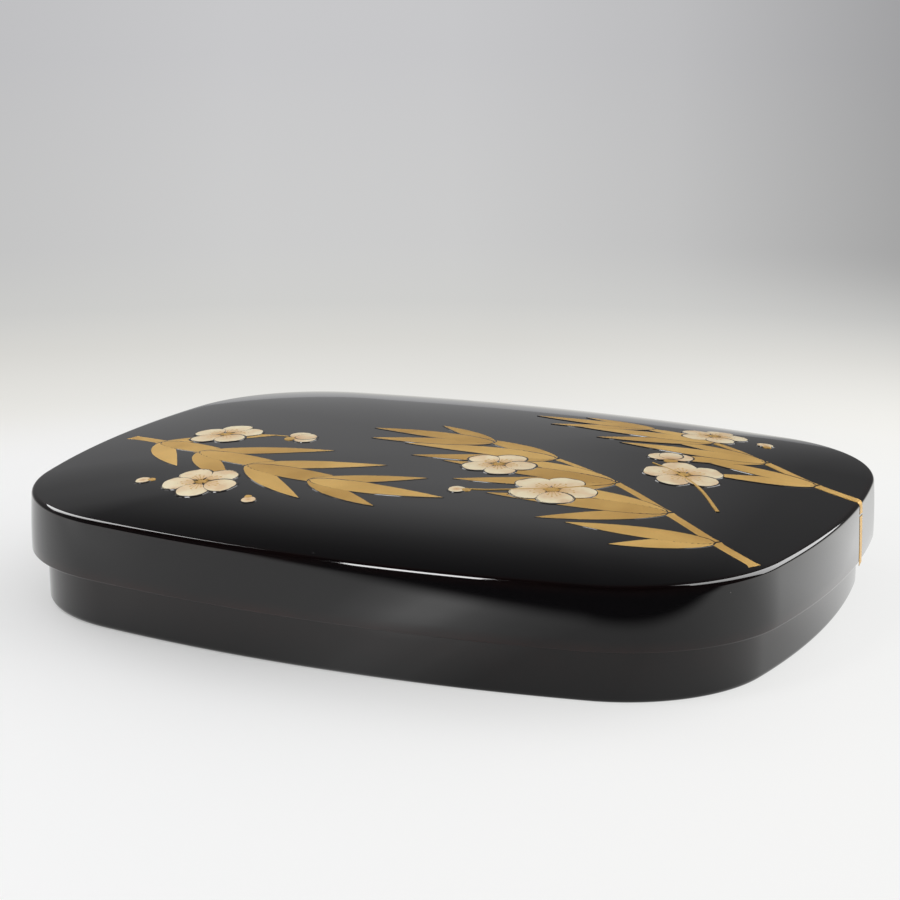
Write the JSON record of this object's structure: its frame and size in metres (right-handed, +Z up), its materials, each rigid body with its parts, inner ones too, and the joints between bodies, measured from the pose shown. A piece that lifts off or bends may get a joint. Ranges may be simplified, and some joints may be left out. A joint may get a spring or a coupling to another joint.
{
  "type": "japanese suzuri ink box",
  "caption": "Black lacquer writing box with a crowned overhanging lid, holding an inkstone, water dropper, ink stick and capped brushes.",
  "frame": {"origin": "middle of the flat underside of the base, in the plane that the box stands on", "axes": "+X along the box's long side to the right, +Y to the back, +Z up"},
  "size_m": [0.258, 0.202, 0.045],
  "materials": {
    "black_lacquer": "mirror-polished black urushi lacquer over a wood core",
    "brown_lacquer": "polished dark red-brown lacquer with sparse gold dust",
    "gold_powder": "sprinkled gold powder, burnished, laid in lacquer",
    "cream_lacquer": "pale gold and cream lacquer, slightly raised",
    "slate": "honed fine-grained slate",
    "copper": "patinated copper, hand-polished",
    "soot_ink": "pressed soot and glue, satin",
    "bamboo": "polished bamboo skin",
    "horn": "polished dark horn",
    "hair": "pale animal hair, set to a point"
  },
  "bodies": {
    "base": {"base": "black_lacquer"},
    "lid": {"lid": "black_lacquer"},
    "board": {"stone_board": "brown_lacquer"},
    "tray": {"brush_tray": "brown_lacquer", "brush_rests": "brown_lacquer"},
    "stone": {"inkstone": "slate"},
    "dropper": {"dropper_bowl": "copper", "dropper_top": "copper"},
    "stick": {"ink_stick": "soot_ink"},
    "large_brush": {"large_brush_handle": "bamboo", "large_brush_collar": "horn", "large_brush_tuft": "hair", "large_brush_end": "horn"},
    "large_cap": {"large_brush_cap": "bamboo"},
    "small_brush": {"small_brush_handle": "bamboo", "small_brush_tuft": "hair", "small_brush_end": "horn"},
    "small_cap": {"small_brush_cap": "bamboo"}
  },
  "joints": [
    {"name": "lid_lift", "type": "slide", "parent": "base", "child": "lid", "axis": [0, 0, 1], "range_m": [0, 0.12]},
    {"name": "board_lift", "type": "slide", "parent": "base", "child": "board", "axis": [0, 0, 1], "range_m": [0, 0.042]},
    {"name": "tray_lift", "type": "slide", "parent": "base", "child": "tray", "axis": [0, 0, 1], "range_m": [0, 0.042]},
    {"name": "stone_lift", "type": "slide", "parent": "base", "child": "stone", "axis": [0, 0, 1], "range_m": [0, 0.072]},
    {"name": "dropper_lift", "type": "slide", "parent": "base", "child": "dropper", "axis": [0, 0, 1], "range_m": [0, 0.072]},
    {"name": "stick_lift", "type": "slide", "parent": "board", "child": "stick", "axis": [0, 0, 1], "range_m": [0, 0.03]},
    {"name": "large_brush_lift", "type": "slide", "parent": "tray", "child": "large_brush", "axis": [0, 0, 1], "range_m": [0, 0.03]},
    {"name": "small_brush_lift", "type": "slide", "parent": "tray", "child": "small_brush", "axis": [0, 0, 1], "range_m": [0, 0.03]},
    {"name": "large_cap_pull", "type": "slide", "parent": "large_brush", "child": "large_cap", "axis": [1, 0, 0], "range_m": [0, 0.046]},
    {"name": "small_cap_pull", "type": "slide", "parent": "small_brush", "child": "small_cap", "axis": [1, 0, 0], "range_m": [0, 0.034]}
  ],
  "couplings": [
    {"joint": "board_lift", "follows": "lid_lift", "ratio": 0.35},
    {"joint": "tray_lift", "follows": "lid_lift", "ratio": 0.35},
    {"joint": "stone_lift", "follows": "lid_lift", "ratio": 0.6},
    {"joint": "dropper_lift", "follows": "lid_lift", "ratio": 0.6},
    {"joint": "stick_lift", "follows": "lid_lift", "ratio": 0.25},
    {"joint": "large_brush_lift", "follows": "lid_lift", "ratio": 0.25},
    {"joint": "small_brush_lift", "follows": "lid_lift", "ratio": 0.25}
  ]
}
